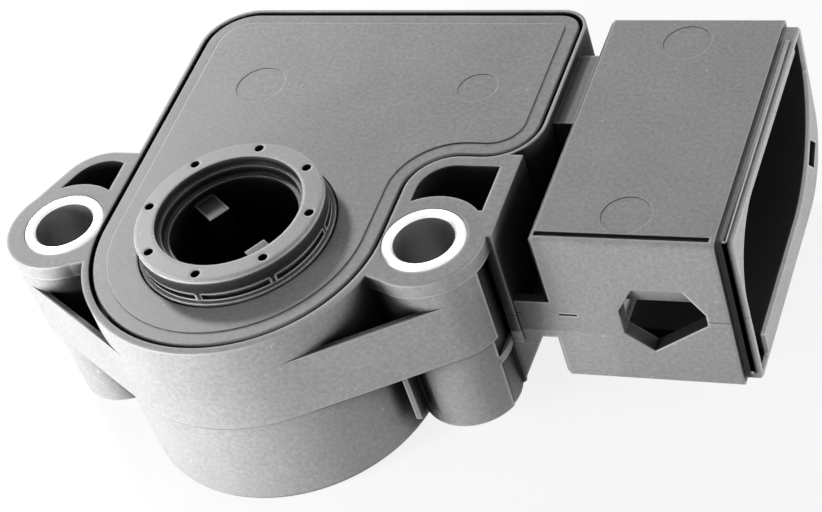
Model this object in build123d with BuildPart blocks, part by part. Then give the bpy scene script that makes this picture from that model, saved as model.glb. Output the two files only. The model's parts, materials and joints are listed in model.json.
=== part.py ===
from build123d import *
from math import atan2, degrees
import os

# Rotary throttle position sensor. The origin is the rotor axis on the plane of the two bush faces,
# +Z points out of the throttle side, +X to the mouth of the plug shroud and +Y to the back edge.
# Radii grow outwards from the drive socket and levels go down from the bush faces, wall by wall.
# All lengths are in millimetres.

os.makedirs("parts", exist_ok=True)

# Rotor: drive socket, collar and drum
socket_r = 5.7
socket_step = 0.45
socket_step_depth = 0.8
socket_lip = 0.35
socket_mouth_depth = 0.8
socket_floor = 1.2
socket_wall = 1.5
dimple_count = 8
dimple_facets = 12
dimple_r = 0.42
dimple_inset = 1.0
dimple_depth = 1.1
collar_rim = 0.85
collar_top = 2.5
collar_lip = 0.3
collar_lip_z = -0.15
collar_lip_height = 0.3
tang_tip_r = 2.9
tang_width = 2.0
tang_top = 0.1
tang_angle = -37.0
groove_low = 0.35
groove_high = 0.9
groove_depth = 0.4
groove_rib = 0.6
drum_flange = 1.85
drum_top_wall = 1.6
drum_wall = 1.2
drum_height = 6.65
journal_r = 2.5
journal_clearance = 0.05
journal_end_gap = 0.2
hub_shoulder = 0.9
hub_end_gap = 0.2
stop_angle = 200.0
stop_travel_angle = 110.0
stop_gap_angle = 1.0
stop_lug_width = 3.0
stop_lug_gap = 0.3
stop_rib_width = 2.0
stop_rib_gap = 0.3
stop_rib_drop = 0.65
wiper_boss_width = 5.0
edge_soft = 0.25

# Seals, washer and bearing
washer_thickness = 0.45
washer_gap = 0.05
washer_radial_gap = 0.3
washer_overlap = 0.15
seal_room = 1.35
lip_gap = 0.12
lip_thickness = 0.3
lip_rise = 0.3
rotor_seal_height = 0.7
rotor_seal_wall = 0.6
bearing_wall = 1.15
bearing_length = 3.6
bearing_boss_wall = 1.1

# Cover plate
cover_overhang = 0.4
cover_back = 28.4
cover_shoulder = 10.3
inner_corner_r = 4.4
front_corner_r = 4.0
back_right_r = 2.0
back_left_r = 4.2
cover_thickness = 1.6
cover_sink = 0.05
cover_border = 1.3
cover_step = 0.12
cover_edge = 0.15
cover_gap = 0.35
cover_lip = 1.0
cover_lip_wall = 0.9
cover_lip_gap = 0.2
cover_lip_clear = 0.45
cover_skin = 0.55
cover_hole_gap = 0.2
mark_depth = 0.05
cover_marks = ((-5.0, 18.5, 2.3), (16.0, 18.5, 1.8))

# Mounting ears and their steel bushes
bush_outer_r = 3.65
bush_bore_r = 2.65
bush_length = 18.3
bush_proud = 0.15
bush_bevel = 0.2
bush_wall = 0.1
press_clearance = 0.02
ear_wall = 1.6
ear_front_y = -4.2
ear_plate = 1.5
boss_wall = 1.5
boss_step = 0.45
boss_draft = 0.6
boss_bevel = 0.35

# Housing
rim = 0.6
side_rim = 0.3
round_wall = 1.0
ledge = 1.35
seal_thickness = 0.5
seal_gap = 0.05
parting_z = -9.4
parting_step = 0.12
board_floor = 1.3
cup_floor = 2.0
cup_edge_r = 0.9
cup_draft = 0.5
web_top_z = -3.2
web_wall = 0.5
web_floor = 1.2
ear_band = 1.1
lobe_r = 4.3
lobe_in = 1.3
lobe_y = 5.0
left_pocket_wall = 1.25
side_reach = 5.6
side_wall = 1.6
side_wall_proud = 0.35
pocket_floor = 1.4
pocket_front = 3.6
tube_wall = 0.55
slot_end_wall = 0.95
slot_clear = 0.1
slot_front = -1.85
slot_back = 3.2
slot_floor = 0.8
notch_rib = 0.5
notch_rib_gap = 0.2
notch_rib_y = -5.6
notch_rib_rise = 2.1

# Plug shroud
neck_gap = 2.4
plug_back_wall = 4.6
plug_depth = 12.3
plug_rim_depth = 1.4
plug_front = 1.05
plug_width = 27.55
plug_top = -0.7
plug_height = 16.3
plug_edge_r = 0.45
plug_left_bevel = 0.35
plug_heel_r = 6.2
heel_slot_in = 3.85
heel_slot_up = 4.2
heel_slot_length = 2.0
heel_slot_width = 2.2
heel_slot_depth = 3.0
heel_slot_angle = -50.0
plug_rim_side = 0.65
plug_rim_top = 0.2
plug_wall = 1.4
plug_roof = 1.2
plug_base = 3.1
plug_corner_r = 1.6
plug_front_corner_r = 6.0
plug_back_corner_r = 9.5
plug_lead_in = 0.3
plug_lip_bevel = 0.2
key_width = 1.7
key_reach = 2.3
key_rise = 0.4
top_groove_in = 0.75
top_groove_width = 0.5
top_groove_depth = 0.3
window_set_back = 3.3
window_width = 7.4
window_tip_in = 2.3
window_bevel = 1.6
window_ramp_drop = 5.3
window_inner_drop = 7.9
window_right_drop = 9.1
window_left_drop = 10.5
window_tip_drop = 12.5
gate_in = 0.9
gate_length = 1.6
gate_height = 0.2
gate_depth = 0.25
plug_mark_back = 7.6
plug_mark_inset = 3.2
plug_mark_r = 2.1
neck_top = -8.0
neck_height = 4.2
neck_floor = 1.2
neck_wall = 0.9
bridge_front = 15.2
bridge_width = 8.7
bridge_top = -1.0
gusset_wall = 1.35
gusset_rise = 0.9
gusset_reach = 4.6
gusset_gap = 1.15

# Return spring
spring_gap = 0.55
spring_wire = 0.8
wire_facets = 6
spring_turns = 2
spring_pitch = 2.1
spring_head_room = 0.55
spring_well_gap = 3.25
spring_slot_gap = 0.25
spring_leg_angle = 0.0
spring_leg_bury = 0.5
spring_leg_reach = 0.8

# Printed board, tracks and wiper
wiper_room = 1.6
board_thickness = 1.0
board_gap = 0.2
hub_gap = 0.8
print_thickness = 0.06
track_inset = 1.2
track_spacing = 2.2
track_width = 1.2
track_margin_angle = 9.0
lead_width = 0.8
inner_lead_angle = 90.0
left_lead_angle = 180.0
right_lead_angle = 400.0
wiper_thickness = 0.3
wiper_half_width = 1.2
wiper_arm_width = 1.0
wiper_reach = 2.2
wiper_foot = 0.6
wiper_foot_rise = 0.4
contact_gap = 0.12

# Terminals
terminal_names = ("supply", "signal", "ground")
terminal_thickness = 0.8
terminal_width = 1.4
terminal_rise = 2.7
terminal_pitch_plug = 4.0
terminal_pitch_board = 3.0
terminal_inset = 5.4
terminal_set_back = 4.1
terminal_tip_bevel = 0.25
terminal_bend_gap = 0.4
terminal_clearance = 0.03
contact_strip = 0.25
contact_width = 1.2
contact_length = 2.4
contact_set_back = 0.5
seal_block_depth = 1.4
seal_block_reach = 2.0
seal_block_height = 3.4

# Radii, from the socket outwards
socket_step_r = socket_r + socket_step
socket_mouth_r = socket_step_r + socket_lip
dimple_ring_r = socket_mouth_r + dimple_inset
collar_r = dimple_ring_r + collar_rim
cover_hole_r = collar_r + collar_lip + cover_hole_gap
seal_bore_r = collar_r + seal_room
drum_r = collar_r + drum_flange
washer_r = drum_r + washer_overlap
chamber_r = washer_r + cover_lip_clear + cover_lip_wall + cover_lip_gap
cover_r = chamber_r + ledge - cover_gap
body_r = cover_r + round_wall
stop_lug_r = chamber_r - stop_lug_gap
stop_rib_r = drum_r + stop_rib_gap
outer_track_r = drum_r - track_inset
inner_track_r = outer_track_r - track_spacing
hub_r = journal_r + hub_shoulder
bearing_r = journal_r + journal_clearance + bearing_wall
bearing_boss_r = bearing_r + bearing_boss_wall
spring_r = bearing_boss_r + spring_gap + spring_wire / 2
spring_well_r = spring_r + spring_wire / 2 + spring_well_gap
spring_leg_tip_r = hub_r - spring_leg_reach
ear_r = bush_outer_r + ear_wall
boss_r = bush_outer_r + boss_wall
tube_r = bush_outer_r + tube_wall
pocket_r = ear_r - edge_soft / 2

# Grown outlines of the cover
recess_grow = cover_gap
chamber_grow = cover_gap - ledge
body_grow = cover_gap + side_rim

# Places from left to right
bush_x = cover_r + cover_gap + bush_wall + bush_outer_r
bush_pitch = 2 * bush_x
lobe_x = bush_x - lobe_in
left_pocket_right = cover_r + cover_gap + left_pocket_wall
notch_rib_x = body_r + notch_rib_gap
side_wall_x = bush_x + side_reach
slot_right = side_wall_x - slot_end_wall
gusset_tip_x = bush_x + gusset_reach
cover_right = side_wall_x + cover_overhang
plug_left = cover_right + neck_gap
plug_floor = plug_left + plug_back_wall
plug_mouth = plug_floor + plug_depth
plug_shoulder = plug_mouth - plug_rim_depth
window_right = plug_mouth - window_set_back
window_left = window_right - window_width
window_tip_x = window_left + window_tip_in
plug_mark_x = plug_left + plug_mark_back
gusset_top_x = plug_left - gusset_gap
gate_x = plug_left + gate_in + gate_length / 2
terminal_inner_x = cover_right - terminal_inset
terminal_tip_x = plug_mouth - terminal_set_back

# Places from front to back
plug_back = plug_front + plug_width
plug_mid_y = plug_front + plug_width / 2
top_groove_y = plug_front + top_groove_in
heel_slot_y = plug_back - heel_slot_in
side_wall_y = plug_front - side_wall_proud
bridge_back = bridge_front + bridge_width
bridge_mid_y = bridge_front + bridge_width / 2
middle_terminal = (len(terminal_names) - 1) / 2
seal_block_width = 2 * (middle_terminal * terminal_pitch_plug + seal_block_reach) + terminal_width

# Levels, from the top down
ear_top = -bush_proud
boss_bottom = -bush_length
cover_top = -cover_sink
cover_under = cover_top - cover_thickness
ledge_z = cover_under - seal_thickness
drum_top = cover_under - washer_thickness - washer_gap
drum_bottom = drum_top - drum_height
stop_lug_top = cover_under - cover_lip - stop_lug_gap
stop_rib_top = stop_lug_top - stop_rib_drop
board_top = drum_bottom - wiper_room
board_under = board_top - board_thickness
rear_bottom = board_under - board_floor
slot_bottom = rear_bottom + slot_floor
spring_high = board_under - spring_head_room - spring_wire / 2
spring_low = spring_high - spring_turns * spring_pitch
well_floor = spring_low - spring_wire / 2 - spring_slot_gap
cup_bottom_z = well_floor - cup_floor
bearing_top = well_floor + bearing_length
hub_bottom = bearing_top + hub_end_gap
notch_rib_z = boss_bottom + notch_rib_rise
gusset_tip_z = boss_bottom + gusset_rise
neck_bottom = neck_top - neck_height
plug_bottom = plug_top - plug_height
heel_slot_z = plug_bottom + heel_slot_up
window_ramp_top = plug_top - window_ramp_drop
window_inner_top = plug_top - window_inner_drop
window_right_z = plug_top - window_right_drop
window_left_z = plug_top - window_left_drop
window_tip_z = plug_top - window_tip_drop
terminal_z = board_top + terminal_rise
terminal_under = terminal_z - terminal_thickness / 2


def cover_shape(grow):
    """Plan of the cover's edge, moved outwards by grow."""
    half = cover_r + grow
    right = cover_right + grow
    back = cover_back + grow
    shoulder = cover_shoulder - grow
    with BuildSketch(mode=Mode.PRIVATE) as shape:
        Circle(half)
        with Locations((0, back / 2)):
            Rectangle(2 * half, back)
        with Locations(((right - half) / 2, (back + shoulder) / 2)):
            Rectangle(right + half, back - shoulder)
        corners = (
            ((half, shoulder), inner_corner_r - grow),
            ((right, shoulder), front_corner_r + grow),
            ((right, back), back_right_r + grow),
            ((-half, back), back_left_r + grow),
        )
        for point, radius in corners:
            corner = shape.vertices().sort_by_distance((*point, 0))[0]
            fillet(corner, radius=max(radius, edge_soft))
    return shape.sketch


def two_circle_hull(first, first_r, second, second_r):
    """Plan that two circles and their outer tangents enclose."""
    with BuildSketch(mode=Mode.PRIVATE) as shape:
        with BuildLine():
            CenterArc(first, first_r, 0, 360)
            CenterArc(second, second_r, 0, 360)
        make_hull()
    return shape.sketch


def shroud_section(front, back, bottom, top, radii):
    """Section of the shroud between the given sides, with a radius for each corner."""
    corners = ((front, top), (back, top), (back, bottom), (front, bottom))
    with BuildSketch(mode=Mode.PRIVATE) as shape:
        Polygon(*corners, align=None)
        for point, radius in zip(corners, radii):
            corner = shape.vertices().sort_by_distance((*point, 0))[0]
            fillet(corner, radius=radius)
    return shape.sketch


def terminal_plan(index, extra):
    """Plan of one stamped terminal, widened by extra on each side."""
    step = index - middle_terminal
    board_y = bridge_mid_y + step * terminal_pitch_board
    plug_y = plug_mid_y + step * terminal_pitch_plug
    with BuildSketch(mode=Mode.PRIVATE) as shape:
        with BuildLine():
            Polyline(
                (terminal_inner_x, board_y),
                (plug_left, board_y),
                (plug_floor - terminal_bend_gap, plug_y),
                (terminal_tip_x, plug_y),
            )
        trace(line_width=terminal_width + 2 * extra)
    return shape.sketch


# Wedge above the latch window, cut off by the ramp's plane
with BuildPart() as latch_ramp:
    with BuildSketch(Plane.XZ.offset(-plug_front)):
        Polygon(
            (window_left, window_inner_top),
            (window_right, window_inner_top),
            (window_right - window_bevel, window_ramp_top),
            (window_left + window_bevel, window_ramp_top),
            align=None,
        )
    extrude(amount=-plug_wall)
    slope = Vector(0, plug_wall, window_inner_top - window_ramp_top)
    across = Vector(1, 0, 0)
    ramp_plane = Plane(
        origin=(0, plug_front, window_ramp_top), x_dir=across, z_dir=across.cross(slope)
    )
    split(bisect_by=ramp_plane, keep=Keep.BOTTOM)

# Lower half of the cup, a little smaller than the upper, with a rounded rim
with BuildPart() as lower_cup:
    with BuildSketch(Plane.XY.offset(parting_z)):
        Circle(body_r - parting_step)
    extrude(amount=cup_bottom_z - parting_z, taper=cup_draft)
    fillet(lower_cup.edges().sort_by(Axis.Z)[0], radius=cup_edge_r)

# Outer block of the plug shroud, bevelled round its left end
shroud_radii = (plug_edge_r, plug_edge_r, plug_heel_r, plug_edge_r)
with BuildPart() as shroud_block:
    with BuildSketch(Plane.YZ.offset(plug_left)):
        add(shroud_section(plug_front, plug_back, plug_bottom, plug_top, shroud_radii))
    extrude(amount=plug_shoulder - plug_left)
    chamfer(shroud_block.faces().sort_by(Axis.X)[0].edges(), length=plug_left_bevel)
    with BuildSketch(Plane.YZ.offset(plug_shoulder)):
        add(
            shroud_section(
                plug_front + plug_rim_side,
                plug_back - plug_rim_side,
                plug_bottom + plug_rim_top,
                plug_top - plug_rim_top,
                shroud_radii,
            )
        )
    extrude(amount=plug_mouth - plug_shoulder)
    chamfer(shroud_block.faces().sort_by(Axis.X)[-1].edges(), length=plug_lip_bevel)

terminal_slots = [terminal_plan(i, terminal_clearance) for i in range(len(terminal_names))]

# Housing: one moulding with the cup, both ears, the webs and the plug shroud
with BuildPart() as housing:
    # Front webs run tangent from the round end to each boss, with a floor at the parting line
    for side in (-1, 1):
        bush = (side * bush_x, 0)
        with BuildSketch(Plane.XY.offset(parting_z)):
            add(two_circle_hull((0, 0), body_r, bush, boss_r))
        extrude(amount=web_top_z - parting_z)
        with BuildSketch(Plane.XY.offset(parting_z + web_floor)):
            add(two_circle_hull((0, 0), body_r - web_wall, bush, boss_r - web_wall))
        extrude(amount=web_top_z - parting_z, mode=Mode.SUBTRACT)

    # Left ear: a rounded lobe behind the bush
    with BuildSketch(Plane.XY.offset(parting_z)):
        add(two_circle_hull((-bush_x, 0), boss_r, (-lobe_x, lobe_y), lobe_r))
        with Locations((-(lobe_x + cover_r) / 2, (lobe_y + lobe_r) / 2)):
            Rectangle(lobe_x - cover_r, lobe_y + lobe_r)
    extrude(amount=ear_top - parting_z)

    # Right ear: a square block that ends in the thin side wall
    with BuildSketch(Plane.XY.offset(rear_bottom)):
        with Locations(((cover_r + side_wall_x) / 2, (side_wall_y + cover_shoulder) / 2)):
            Rectangle(side_wall_x - cover_r, cover_shoulder - side_wall_y)
    extrude(amount=ear_top - rear_bottom)

    # Ear plates and the screw bosses under them
    for side in (-1, 1):
        with BuildSketch(Plane.XY.offset(ear_top)):
            with Locations((side * bush_x, 0)):
                Circle(ear_r)
            Polygon(
                (side * cover_r, 0),
                (side * cover_r, ear_front_y),
                (side * bush_x, -ear_r),
                (side * bush_x, 0),
                align=None,
            )
        extrude(amount=-ear_plate)
        with BuildSketch(Plane.XY.offset(parting_z)):
            with Locations((side * bush_x, 0)):
                Circle(boss_r)
        extrude(amount=ear_top - parting_z - edge_soft)
        with BuildSketch(Plane.XY.offset(parting_z)):
            with Locations((side * bush_x, 0)):
                Circle(boss_r - boss_step)
        extrude(amount=boss_bottom - parting_z, taper=boss_draft)
    boss_rims = housing.edges().filter_by_position(
        Axis.Z, boss_bottom - press_clearance, boss_bottom + press_clearance
    )
    chamfer(boss_rims, length=boss_bevel)

    # Round end and rear block, with the lower half a little smaller than the upper
    with BuildSketch(Plane.XY.offset(parting_z)):
        add(cover_shape(body_grow))
        Circle(body_r)
    extrude(amount=ear_top - parting_z)
    with BuildSketch(Plane.XY.offset(rear_bottom)):
        add(cover_shape(body_grow - parting_step))
    extrude(amount=parting_z - rear_bottom)
    add(lower_cup.part)

    # Rib in the notch between the cup and the right boss
    with BuildSketch(Plane.XY.offset(notch_rib_z)):
        with Locations((notch_rib_x, notch_rib_y / 2)):
            Rectangle(notch_rib, -notch_rib_y)
    extrude(amount=parting_z - notch_rib_z)

    # Plug shroud, joined by a low neck in front, a tall bridge behind and a gusset to the boss
    add(shroud_block.part)
    with BuildSketch(Plane.XY.offset(neck_bottom)):
        with Locations(((side_wall_x + plug_left) / 2, (plug_front + bridge_back) / 2)):
            Rectangle(plug_left - side_wall_x + 2 * rim, bridge_back - plug_front)
    extrude(amount=neck_floor)
    with BuildSketch(Plane.XY.offset(neck_bottom)):
        with Locations(((side_wall_x + plug_left) / 2, plug_front + neck_wall / 2)):
            Rectangle(plug_left - side_wall_x + 2 * rim, neck_wall)
    extrude(amount=neck_top - neck_bottom)
    with BuildSketch(Plane.XY.offset(neck_bottom)):
        with Locations(((cover_right + plug_left) / 2, bridge_mid_y)):
            Rectangle(plug_left - cover_right + rim, bridge_back - bridge_front)
    extrude(amount=bridge_top - neck_bottom)
    with BuildSketch(Plane.XZ.offset(-plug_front)):
        Polygon(
            (bush_x + bush_outer_r + rim, neck_bottom),
            (gusset_top_x, neck_bottom),
            (gusset_tip_x, gusset_tip_z),
            (bush_x + bush_outer_r + rim, gusset_tip_z),
            align=None,
        )
    extrude(amount=-gusset_wall)

    # Recess, ledge and chamber for the cover, the board and the rotor
    with BuildSketch(Plane.XY.offset(ledge_z)):
        add(cover_shape(recess_grow))
    extrude(amount=ear_top - ledge_z, mode=Mode.SUBTRACT)
    with BuildSketch(Plane.XY.offset(board_under)):
        add(cover_shape(chamber_grow))
    extrude(amount=ledge_z - board_under, mode=Mode.SUBTRACT)
    with BuildSketch(Plane.XY.offset(well_floor)):
        Circle(spring_well_r)
        Circle(bearing_boss_r, mode=Mode.SUBTRACT)
    extrude(amount=board_under - well_floor, mode=Mode.SUBTRACT)
    with BuildSketch(Plane.XY.offset(bearing_top)):
        Circle(bearing_boss_r)
    extrude(amount=board_under - bearing_top, mode=Mode.SUBTRACT)
    with BuildSketch(Plane.XY.offset(well_floor)):
        Circle(bearing_r + press_clearance)
    extrude(amount=bearing_length, mode=Mode.SUBTRACT)

    # Slot that holds the fixed leg of the spring
    with BuildSketch(Plane.XY.offset(well_floor)):
        with PolarLocations(spring_well_r, 1, spring_leg_angle):
            Rectangle(4 * spring_leg_bury, spring_wire + 2 * spring_slot_gap)
    extrude(amount=spring_low - well_floor + spring_wire, mode=Mode.SUBTRACT)

    # Ribs that stop the rotor at each end of its travel
    lug_half = degrees(atan2(stop_lug_width / 2, stop_rib_r))
    rib_half = degrees(atan2(stop_rib_width / 2, stop_rib_r))
    rib_offset = lug_half + rib_half + stop_gap_angle
    stop_angles = (stop_angle - rib_offset, stop_angle + stop_travel_angle + rib_offset)
    for angle in stop_angles:
        with BuildSketch(Plane.XY.offset(board_under)):
            with PolarLocations((stop_rib_r + cover_r) / 2, 1, angle):
                Rectangle(cover_r - stop_rib_r, stop_rib_width)
        extrude(amount=stop_rib_top - board_under)

    # Bush holes, ear pockets and the slot between the right boss and the side wall
    with BuildSketch(Plane.XY.offset(boss_bottom)):
        with GridLocations(bush_pitch, 1, 2, 1):
            Circle(bush_outer_r + press_clearance)
    extrude(amount=bush_length, mode=Mode.SUBTRACT)
    with BuildSketch(Plane.XY.offset(parting_z + pocket_floor)):
        add(two_circle_hull((-bush_x, 0), boss_r - ear_band, (-lobe_x, lobe_y), lobe_r - ear_band))
        with Locations((-bush_x, 0)):
            Circle(pocket_r, mode=Mode.SUBTRACT)
        with Locations((-left_pocket_right + cover_r, 0)):
            Rectangle(2 * cover_r, 4 * ear_r, mode=Mode.SUBTRACT)
    extrude(amount=ear_top - parting_z, mode=Mode.SUBTRACT)
    pocket_left = cover_r + ear_band + cover_gap
    pocket_right = side_wall_x - side_wall
    pocket_back = cover_shoulder - ear_band - cover_gap
    with BuildSketch(Plane.XY.offset(rear_bottom + pocket_floor)) as right_pocket:
        with Locations(((pocket_left + pocket_right) / 2, (pocket_back + pocket_front) / 2)):
            Rectangle(pocket_right - pocket_left, pocket_back - pocket_front)
        pocket_corner = right_pocket.vertices().sort_by_distance((pocket_left, pocket_back, 0))[0]
        fillet(pocket_corner, radius=inner_corner_r - ear_band - cover_gap)
        with Locations((bush_x, 0)):
            Circle(pocket_r, mode=Mode.SUBTRACT)
    extrude(amount=ear_top - rear_bottom, mode=Mode.SUBTRACT)
    with BuildSketch(Plane.XY.offset(slot_bottom)):
        Polygon(
            (bush_x, slot_front),
            (side_wall_x + slot_clear, slot_front),
            (side_wall_x + slot_clear, side_wall_y),
            (slot_right, side_wall_y),
            (slot_right, slot_back),
            (bush_x, slot_back),
            align=None,
        )
        with Locations((bush_x, 0)):
            Circle(tube_r, mode=Mode.SUBTRACT)
    extrude(amount=ear_top - ear_plate - slot_bottom, mode=Mode.SUBTRACT)
    with BuildSketch(Plane.XY.offset(boss_bottom)):
        Polygon(
            (bush_x, slot_front),
            (side_wall_x, slot_front),
            (side_wall_x, plug_front),
            (bush_x, plug_front),
            align=None,
        )
        with Locations((bush_x, 0)):
            Circle(tube_r, mode=Mode.SUBTRACT)
    extrude(amount=rear_bottom - boss_bottom, mode=Mode.SUBTRACT)

    # Plug cavity with a bevelled mouth and two key slots
    cavity_front = plug_front + plug_wall
    cavity_back = plug_back - plug_wall
    cavity_top = plug_top - plug_roof
    cavity_bottom = plug_bottom + plug_base
    cavity_radii = (plug_front_corner_r, plug_corner_r, plug_back_corner_r, plug_corner_r)
    with BuildSketch(Plane.YZ.offset(plug_floor)):
        add(shroud_section(cavity_front, cavity_back, cavity_bottom, cavity_top, cavity_radii))
    extrude(amount=plug_mouth - plug_floor, mode=Mode.SUBTRACT)
    key_height = key_reach + plug_corner_r
    key_slots = (
        (cavity_back - key_width / 2, cavity_top + key_rise - key_height / 2),
        (cavity_front + key_width / 2, cavity_bottom - key_reach + key_height / 2),
    )
    with BuildSketch(Plane.YZ.offset(plug_floor)):
        with Locations(*key_slots):
            Rectangle(key_width, key_height)
    extrude(amount=plug_mouth - plug_floor, mode=Mode.SUBTRACT)

    # Latch window in the front wall, with a ramp that leads into its upper edge
    with BuildSketch(Plane.XZ.offset(-plug_front)):
        Polygon(
            (window_left, window_inner_top),
            (window_left, window_left_z),
            (window_tip_x, window_tip_z),
            (window_right, window_right_z),
            (window_right, window_inner_top),
            align=None,
        )
    extrude(amount=-plug_wall - plug_corner_r, mode=Mode.SUBTRACT)
    add(latch_ramp.part, mode=Mode.SUBTRACT)

    # Slots for the insert-moulded terminals and the pocket for their seal
    for slot in terminal_slots:
        with BuildSketch(Plane.XY.offset(terminal_under - terminal_clearance)):
            add(slot)
        extrude(amount=terminal_thickness + 2 * terminal_clearance, mode=Mode.SUBTRACT)
    with BuildSketch(Plane.YZ.offset(plug_floor - seal_block_depth)):
        with Locations((plug_mid_y, terminal_z)):
            Rectangle(seal_block_width + 2 * press_clearance, seal_block_height + 2 * press_clearance)
    extrude(amount=seal_block_depth, mode=Mode.SUBTRACT)

    # Gate mark on the front, sink line along the front of the roof, and shallow ejector marks
    with BuildSketch(Plane.XZ.offset(-plug_front)):
        with Locations((gate_x, parting_z)):
            Rectangle(gate_length, gate_height)
    extrude(amount=-gate_depth, mode=Mode.SUBTRACT)
    with BuildSketch(Plane.XY.offset(plug_top)):
        with Locations(((plug_left + plug_shoulder) / 2, top_groove_y)):
            Rectangle(plug_shoulder - plug_left - 2 * plug_edge_r, top_groove_width)
    extrude(amount=-top_groove_depth, mode=Mode.SUBTRACT)
    with BuildSketch(Plane.XY.offset(plug_top)):
        for mark_y in (plug_front + plug_mark_inset, plug_back - plug_mark_inset):
            with Locations((plug_mark_x, mark_y)):
                Circle(plug_mark_r)
    extrude(amount=-mark_depth, mode=Mode.SUBTRACT)

    # Bevel round the mouth of the shroud
    mouth_edges = housing.faces().sort_by(Axis.X)[-1].inner_wires()[0].edges()
    chamfer(mouth_edges, length=plug_lead_in)

    # Blind slot in the thick heel of the rim
    with BuildSketch(Plane.YZ.offset(plug_mouth)):
        with Locations((heel_slot_y, heel_slot_z)):
            Rectangle(heel_slot_length, heel_slot_width, rotation=heel_slot_angle)
    extrude(amount=-heel_slot_depth, mode=Mode.SUBTRACT)
housing.part.label = "housing"
export_step(housing.part, "parts/housing.step")

# Cover plate with a lowered border and a lip that locates it in the chamber
with BuildPart() as cover_plate:
    with BuildSketch(Plane.XY.offset(cover_under)):
        add(cover_shape(0))
    extrude(amount=cover_thickness - cover_step)
    chamfer(cover_plate.edges().group_by(Axis.Z)[-1], length=cover_edge)
    with BuildSketch(Plane.XY.offset(cover_under)):
        add(cover_shape(-cover_border))
    extrude(amount=cover_thickness)
    with BuildSketch(Plane.XY.offset(cover_under)):
        add(cover_shape(chamber_grow - cover_lip_gap))
        add(cover_shape(chamber_grow - cover_lip_gap - cover_lip_wall), mode=Mode.SUBTRACT)
    extrude(amount=-cover_lip)
    with BuildSketch(Plane.XY.offset(cover_under)):
        Circle(cover_hole_r)
    extrude(amount=cover_thickness, mode=Mode.SUBTRACT)
    with BuildSketch(Plane.XY.offset(cover_under)):
        Circle(seal_bore_r)
    extrude(amount=cover_thickness - cover_skin, mode=Mode.SUBTRACT)
    with BuildSketch(Plane.XY.offset(cover_top)):
        for x, y, radius in cover_marks:
            with Locations((x, y)):
                Circle(radius)
    extrude(amount=-mark_depth, mode=Mode.SUBTRACT)
cover_plate.part.label = "cover_plate"
export_step(cover_plate.part, "parts/cover_plate.step")

# Flat seal between the cover and its ledge
with BuildPart() as cover_seal:
    with BuildSketch(Plane.XY.offset(ledge_z)):
        add(cover_shape(recess_grow - seal_gap))
        add(cover_shape(chamber_grow), mode=Mode.SUBTRACT)
    extrude(amount=seal_thickness)
cover_seal.part.label = "cover_seal"
export_step(cover_seal.part, "parts/cover_seal.step")

# Steel bushes that carry the clamping load of the screws
for name, side in (("bushing_left", -1), ("bushing_right", 1)):
    with BuildPart() as bushing:
        with BuildSketch(Plane.XY.offset(boss_bottom)):
            with Locations((side * bush_x, 0)):
                Circle(bush_outer_r)
                Circle(bush_bore_r, mode=Mode.SUBTRACT)
        extrude(amount=bush_length)
        chamfer(bushing.faces().sort_by(Axis.Z)[-1].edges(), length=bush_bevel)
    bushing.part.label = name
    export_step(bushing.part, f"parts/{name}.step")

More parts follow.
